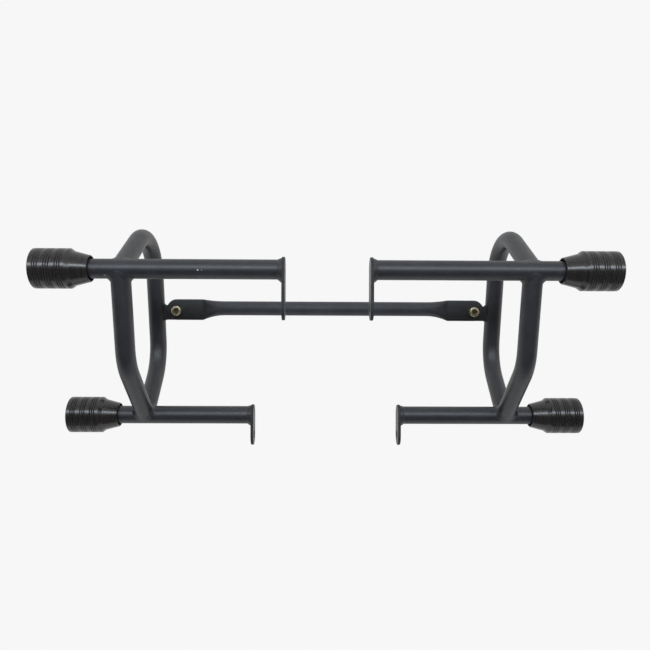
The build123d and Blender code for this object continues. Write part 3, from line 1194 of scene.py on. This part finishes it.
class CRASHBARS_OT_plate_fasteners(bpy.types.Operator):
    """Plate the nuts, washers and screws, and leave the bosses bare"""

    bl_idname = "crash_bars.plate_fasteners"
    bl_label = "Plate the fasteners"

    def execute(self, context):
        dress(yellow_zinc(), ("_nut", "_washer", "_screw"))
        dress(turned_steel(), ("_boss",))
        return {"FINISHED"}


class CRASHBARS_OT_weld_plates(bpy.types.Operator):
    """Lay the rippled weld rings between the cross tubes and their plates"""

    bl_idname = "crash_bars.weld_plates"
    bl_label = "Weld the plates"

    def execute(self, context):
        fullness = context.scene.crash_bar_sizes.plate_fullness
        for level in LEVELS:
            for side, sign in SIDES.items():
                bm = lay_bead(plate_stops(level), fullness, sign)
                piece = add_piece(f"{side}_{level}_plate_bead", bm, "black_coat", satin_coat())
                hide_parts(f"{side}_{level}_plate_weld")
        return {"FINISHED"}


class CRASHBARS_OT_weld_joints(bpy.types.Operator):
    """Lay the weld beads where the uprights and hoops meet the cross tubes"""

    bl_idname = "crash_bars.weld_joints"
    bl_label = "Weld the joints"

    def execute(self, context):
        sizes = context.scene.crash_bar_sizes
        joints = {
            "upright_top": ("upper", sizes.upright_knee),
            "upright_foot": ("lower", sizes.upright_knee),
            "hoop_front": ("upper", sizes.hoop_crown),
            "hoop_foot": ("lower", sizes.hoop_heel),
        }
        for name, (level, corner) in joints.items():
            for side, sign in SIDES.items():
                bm = lay_bead(joint_stops(level, corner), sizes.bead_fullness, sign)
                add_piece(f"{side}_{name}_bead", bm, "black_coat", satin_coat())
        return {"FINISHED"}


class CRASHBARS_OT_weld_lugs(bpy.types.Operator):
    """Lay the weld round each brace lug"""

    bl_idname = "crash_bars.weld_lugs"
    bl_label = "Weld the lugs"

    def execute(self, context):
        fullness = context.scene.crash_bar_sizes.bead_fullness
        for side, sign in SIDES.items():
            bm = lay_bead(lug_stops(), fullness, sign)
            add_piece(f"{side}_lug_bead", bm, "black_coat", satin_coat())
        return {"FINISHED"}


class CRASHBARS_OT_fit_screws(bpy.types.Operator):
    """Fit the knurled, threaded socket screws of the brace and the sliders"""

    bl_idname = "crash_bars.fit_screws"
    bl_label = "Fit the screws"

    def execute(self, context):
        for side, sign in SIDES.items():
            fit_screw(f"{side}_brace_screw", Vector((0, -1, 0)), BRACE_SCREW)
            for level in LEVELS:
                fit_screw(f"{side}_{level}_slider_screw", X_AXIS * sign, SLIDER_SCREW)
        return {"FINISHED"}


class CRASHBARS_OT_set_stage(bpy.types.Operator):
    """Set up the floor, the cloths, the light and the camera"""

    bl_idname = "crash_bars.set_stage"
    bl_label = "Set the stage"

    def execute(self, context):
        studio = context.scene.crash_bar_studio
        context.scene.view_settings.view_transform = "Standard"
        floor = add_floor(studio)
        hang_cloths(floor.location.z)
        add_strip_light(studio)
        light_room(studio)
        add_camera(studio)
        return {"FINISHED"}


STEPS = (
    CRASHBARS_OT_coat_tubes,
    CRASHBARS_OT_anodise_sliders,
    CRASHBARS_OT_plate_fasteners,
    CRASHBARS_OT_weld_plates,
    CRASHBARS_OT_weld_joints,
    CRASHBARS_OT_weld_lugs,
    CRASHBARS_OT_fit_screws,
    CRASHBARS_OT_set_stage,
)


class CRASHBARS_PT_panel(bpy.types.Panel):
    """The steps and values of the crash bars"""

    bl_idname = "CRASHBARS_PT_panel"
    bl_label = "Crash bars"
    bl_space_type = "VIEW_3D"
    bl_region_type = "UI"
    bl_category = "Crash bars"

    def draw(self, context):
        for step in STEPS:
            self.layout.operator(step.bl_idname)
        for group in (context.scene.crash_bar_sizes, context.scene.crash_bar_finishes,
                      context.scene.crash_bar_studio):
            box = self.layout.box()
            for name in group.bl_rna.properties.keys():
                if name not in ("rna_type", "name"):
                    box.prop(group, name)


CLASSES = (CrashBarSizes, CrashBarFinishes, CrashBarStudio, *STEPS, CRASHBARS_PT_panel)


def register():
    for each in CLASSES:
        bpy.utils.register_class(each)
    bpy.types.Scene.crash_bar_sizes = bpy.props.PointerProperty(type=CrashBarSizes)
    bpy.types.Scene.crash_bar_finishes = bpy.props.PointerProperty(type=CrashBarFinishes)
    bpy.types.Scene.crash_bar_studio = bpy.props.PointerProperty(type=CrashBarStudio)


def unregister():
    del bpy.types.Scene.crash_bar_studio
    del bpy.types.Scene.crash_bar_finishes
    del bpy.types.Scene.crash_bar_sizes
    for each in reversed(CLASSES):
        bpy.utils.unregister_class(each)


def main():
    register()
    for step in STEPS:
        family, name = step.bl_idname.split(".")
        getattr(getattr(bpy.ops, family), name)()


if __name__ == "__main__":
    main()
